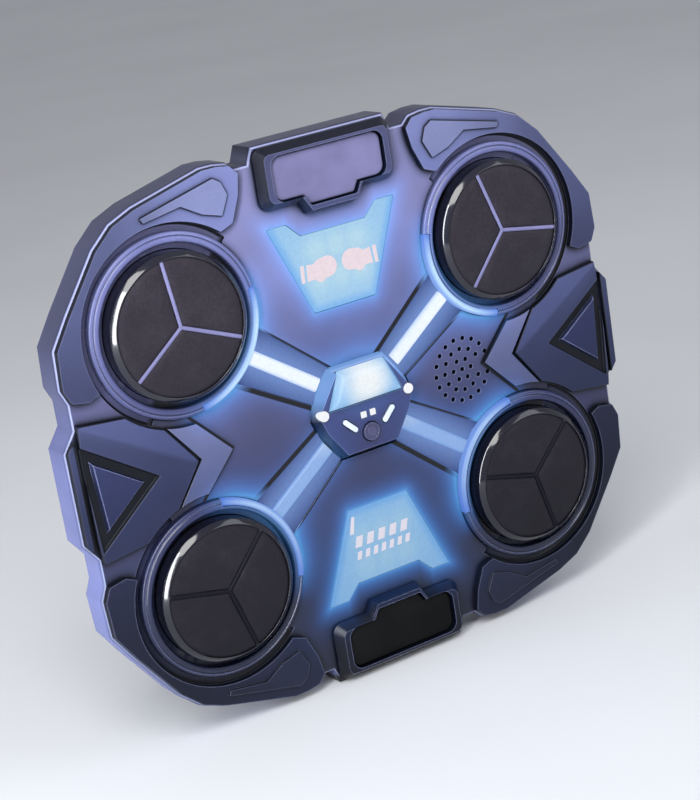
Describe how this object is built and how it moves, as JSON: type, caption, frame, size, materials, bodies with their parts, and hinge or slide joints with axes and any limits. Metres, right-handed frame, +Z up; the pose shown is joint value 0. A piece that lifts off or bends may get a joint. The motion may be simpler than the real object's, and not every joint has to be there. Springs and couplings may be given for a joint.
{
  "type": "boxing punch machine",
  "caption": "Wall-hung light-up boxing pad: sprung round strike pads around a lit hub with power and speed keys, in a two-piece plastic housing on hook-and-loop strips.",
  "frame": {"origin": "middle of the wall side, on the outer face of the middle hook strip, where the pad hangs on the wall", "axes": "+X to the right as seen from the front, +Z up, and the strike pads face -Y, away from the wall"},
  "size_m": [0.309, 0.0395, 0.267],
  "materials": {
    "rear_plastic": "satin moulded plastic",
    "front_plastic": "satin moulded plastic, navy to lavender",
    "tray_plastic": "translucent blue, lit from behind",
    "guard_plastic": "satin moulded plastic",
    "side_plastic": "satin moulded plastic",
    "chevron_plastic": "satin moulded plastic, light periwinkle",
    "insert_plastic": "glossy moulded plastic",
    "panel_plastic": "smooth lavender grey plastic",
    "panel_plastic_dark": "smooth near-black plastic",
    "bezel_plastic": "glossy moulded plastic",
    "arc_light": "translucent light guide, emissive",
    "bar_light": "translucent light guide, emissive",
    "score_light": "translucent diffuser, emissive",
    "dome_light": "translucent diffuser, emissive",
    "hub_plastic": "glossy moulded plastic",
    "button_plastic": "glossy moulded plastic",
    "key_plastic": "glossy translucent plastic",
    "pad_plastic": "satin moulded plastic",
    "pad_rubber": "fine-grained soft skin",
    "spring_steel": "drawn spring wire",
    "board_green": "glass-epoxy circuit board",
    "board_white": "white light board",
    "battery_wrap": "shrink wrap",
    "cradle_plastic": "moulded plastic",
    "speaker_black": "paper cone in a plastic frame",
    "screw_steel": "bright plated",
    "strip_fabric": "woven hook-and-loop tape"
  },
  "bodies": {
    "housing": {"rear_shell": "rear_plastic", "front_shell": "front_plastic", "light_tray": "tray_plastic", "corner_guard_tl": "guard_plastic", "pad_bezel_tl": "bezel_plastic", "arc_lens_tl": "arc_light", "arm_lens_tl": "bar_light", "pad_spring_tl": "spring_steel", "corner_guard_tr": "guard_plastic", "pad_bezel_tr": "bezel_plastic", "arc_lens_tr": "arc_light", "arm_lens_tr": "bar_light", "pad_spring_tr": "spring_steel", "corner_guard_bl": "guard_plastic", "pad_bezel_bl": "bezel_plastic", "arc_lens_bl": "arc_light", "arm_lens_bl": "bar_light", "pad_spring_bl": "spring_steel", "corner_guard_br": "guard_plastic", "pad_bezel_br": "bezel_plastic", "arc_lens_br": "arc_light", "arm_lens_br": "bar_light", "pad_spring_br": "spring_steel", "side_guard_left": "side_plastic", "chevron_left": "chevron_plastic", "triangle_insert_left": "insert_plastic", "side_guard_right": "side_plastic", "chevron_right": "chevron_plastic", "triangle_insert_right": "insert_plastic", "grip_frame_top": "guard_plastic", "score_lens_top": "score_light", "grip_frame_bottom": "guard_plastic", "score_lens_bottom": "score_light", "grip_panel_top": "panel_plastic", "grip_panel_bottom": "panel_plastic_dark", "hub_shell": "hub_plastic", "hub_dome": "dome_light", "hub_indicators": "bar_light", "pad_switches": "board_green", "main_board": "board_green", "led_boards": "board_white", "battery_cell": "battery_wrap", "battery_cradle": "cradle_plastic", "speaker_driver": "speaker_black", "screws": "screw_steel", "usb_socket": "screw_steel", "hook_strips": "strip_fabric", "loop_strips": "strip_fabric"},
    "pad_tl": {"strike_pad_tl": "pad_plastic", "strike_skin_tl": "pad_rubber"},
    "pad_tr": {"strike_pad_tr": "pad_plastic", "strike_skin_tr": "pad_rubber"},
    "pad_bl": {"strike_pad_bl": "pad_plastic", "strike_skin_bl": "pad_rubber"},
    "pad_br": {"strike_pad_br": "pad_plastic", "strike_skin_br": "pad_rubber"},
    "power": {"power_button": "button_plastic"},
    "minus": {"minus_key": "key_plastic"},
    "plus": {"plus_key": "key_plastic"}
  },
  "joints": [
    {"name": "pad_tl_press", "type": "slide", "parent": "housing", "child": "pad_tl", "axis": [0, 1, 0], "range_m": [0, 0.003], "stiffness_N_per_m": 2500, "deforming": ["pad_spring_tl"]},
    {"name": "pad_tr_press", "type": "slide", "parent": "housing", "child": "pad_tr", "axis": [0, 1, 0], "range_m": [0, 0.003], "stiffness_N_per_m": 2500, "deforming": ["pad_spring_tr"]},
    {"name": "pad_bl_press", "type": "slide", "parent": "housing", "child": "pad_bl", "axis": [0, 1, 0], "range_m": [0, 0.003], "stiffness_N_per_m": 2500, "deforming": ["pad_spring_bl"]},
    {"name": "pad_br_press", "type": "slide", "parent": "housing", "child": "pad_br", "axis": [0, 1, 0], "range_m": [0, 0.003], "stiffness_N_per_m": 2500, "deforming": ["pad_spring_br"]},
    {"name": "power_press", "type": "slide", "parent": "housing", "child": "power", "axis": [0, 1, 0], "range_m": [0, 0.001], "stiffness_N_per_m": 1500},
    {"name": "minus_press", "type": "slide", "parent": "housing", "child": "minus", "axis": [0, 1, 0], "range_m": [0, 0.0008], "stiffness_N_per_m": 1500},
    {"name": "plus_press", "type": "slide", "parent": "housing", "child": "plus", "axis": [0, 1, 0], "range_m": [0, 0.0008], "stiffness_N_per_m": 1500}
  ]
}
